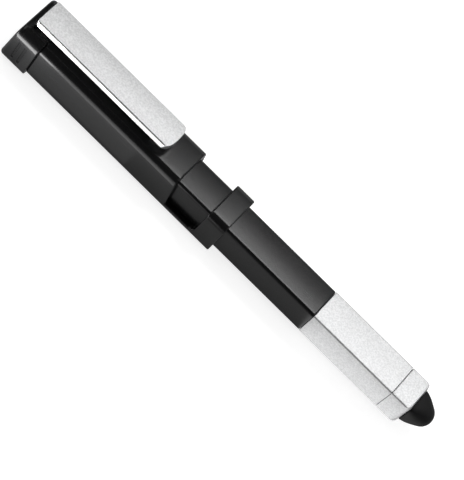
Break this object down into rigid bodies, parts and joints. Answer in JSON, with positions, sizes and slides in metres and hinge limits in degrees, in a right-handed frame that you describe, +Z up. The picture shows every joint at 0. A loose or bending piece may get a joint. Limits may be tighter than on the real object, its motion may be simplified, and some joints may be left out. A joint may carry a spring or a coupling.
{
  "type": "multi-tool pen",
  "caption": "Square pen with a sliding barrel that opens a phone slot, a pull-off stylus cap over a ballpoint, a sprung pocket clip and a push light in its end cap.",
  "frame": {"origin": "middle of the pen's length and width, on the plane that its back rests on", "axes": "+X along the pen towards the stylus nib, +Z up through the clip, +Y across the pen"},
  "size_m": [0.1468, 0.0156, 0.0205],
  "materials": {
    "black_gloss": "polished moulded plastic",
    "black_satin": "satin moulded plastic",
    "silver": "fine bead-blasted",
    "clear": "clear moulded",
    "board": "solder mask",
    "chip": "matte",
    "steel": "plated",
    "brass": "plain",
    "natural_plastic": "natural, translucent",
    "ink": "dark ink",
    "liner": "plain moulded",
    "nib_rubber": "matte conductive rubber"
  },
  "bodies": {
    "sleeve": {"outer_sleeve": "black_gloss", "cell_carrier": "natural_plastic", "contact_strip": "brass", "contact_spring": "steel", "button_cell_1": "steel", "button_cell_2": "steel", "button_cell_3": "steel"},
    "end_cap": {"end_cap": "black_satin"},
    "light_head": {"torch_lens": "clear", "torch_led": "clear", "torch_board": "board", "board_resistor": "chip"},
    "clip": {"pocket_clip": "silver"},
    "barrel": {"inner_barrel": "black_gloss", "barrel_plug": "black_satin", "nose_section": "black_satin", "refill_tube": "natural_plastic", "refill_ink": "ink", "refill_point": "brass", "refill_ball": "steel"},
    "stylus_cap": {"cap_shell": "silver", "cap_liner": "liner", "stylus_holder": "silver", "nib_core": "liner", "stylus_nib": "nib_rubber"}
  },
  "joints": [
    {"name": "barrel_slide", "type": "slide", "parent": "sleeve", "child": "barrel", "axis": [1, 0, 0], "range_m": [0, 0.0125]},
    {"name": "stylus_cap_pull", "type": "slide", "parent": "barrel", "child": "stylus_cap", "axis": [1, 0, 0], "range_m": [0, 0.028]},
    {"name": "end_cap_pull", "type": "slide", "parent": "sleeve", "child": "end_cap", "axis": [-1, 0, 0], "range_m": [0, 0.014]},
    {"name": "torch_press", "type": "slide", "parent": "sleeve", "child": "light_head", "axis": [1, 0, 0], "range_m": [0, 0.0012], "stiffness_N_per_m": 600, "springref_m": -0.0005, "deforming": ["contact_spring"]},
    {"name": "clip_lift", "type": "hinge", "parent": "sleeve", "child": "clip", "pos_m": [-0.06721, 0, 0.01365], "axis": [0, -1, 0], "range_deg": [0, 4], "stiffness_Nm_per_rad": 1.2}
  ]
}
